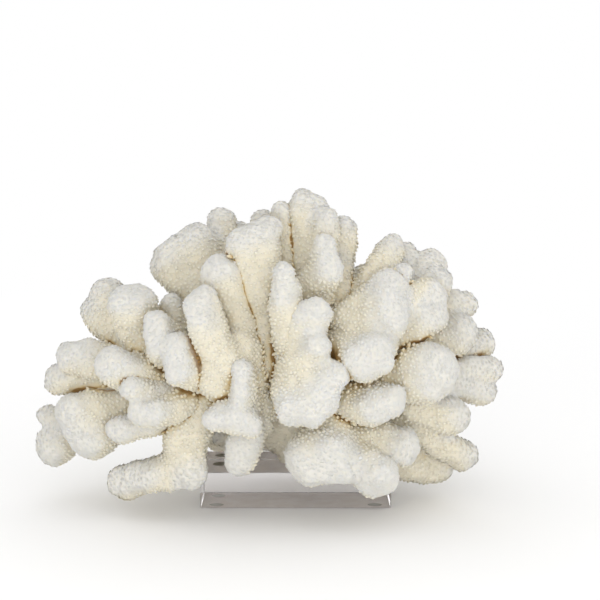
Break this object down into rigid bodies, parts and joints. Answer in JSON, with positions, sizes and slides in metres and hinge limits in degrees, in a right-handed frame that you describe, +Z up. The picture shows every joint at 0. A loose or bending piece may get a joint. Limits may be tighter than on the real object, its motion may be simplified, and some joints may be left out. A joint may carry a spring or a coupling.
{
  "type": "branching coral on a stand",
  "caption": "Branching coral head with short knobbly fingers, cut flat below and standing on a low clear block with rubber pads.",
  "frame": {"origin": "middle of the part's outline seen from above, at the level the pads rest on", "axes": "+Z up, +X to the right along the block and the coral's longest way, -Y towards the front that the picture shows"},
  "size_m": [0.315, 0.2012, 0.2121],
  "materials": {
    "coral": "rough chalky coral skeleton, white tips and cream to tan bodies",
    "clear_acrylic": "polished clear acrylic",
    "clear_rubber": "soft translucent bumper pad"
  },
  "bodies": {
    "root": {"branch_back_centre": "coral", "branch_back_left_low": "coral", "branch_back_left_mid": "coral", "branch_back_left_top": "coral", "branch_back_low": "coral", "branch_back_right": "coral", "branch_back_right_low": "coral", "branch_back_right_top": "coral", "branch_back_top": "coral", "branch_centre": "coral", "branch_centre_front": "coral", "branch_centre_left": "coral", "branch_centre_ridge": "coral", "branch_left_bottom": "coral", "branch_left_front_low": "coral", "branch_left_front_mid": "coral", "branch_left_inner": "coral", "branch_left_low": "coral", "branch_left_mid": "coral", "branch_left_upper": "coral", "branch_right_front_low": "coral", "branch_right_low": "coral", "branch_right_mid": "coral", "branch_right_outer": "coral", "branch_right_round": "coral", "branch_right_top": "coral", "branch_top_centre": "coral", "branch_top_left": "coral", "clear_block": "clear_acrylic", "pad_back_left": "clear_rubber", "pad_back_right": "clear_rubber", "pad_front_left": "clear_rubber", "pad_front_right": "clear_rubber", "trunk": "coral"}
  },
  "joints": []
}
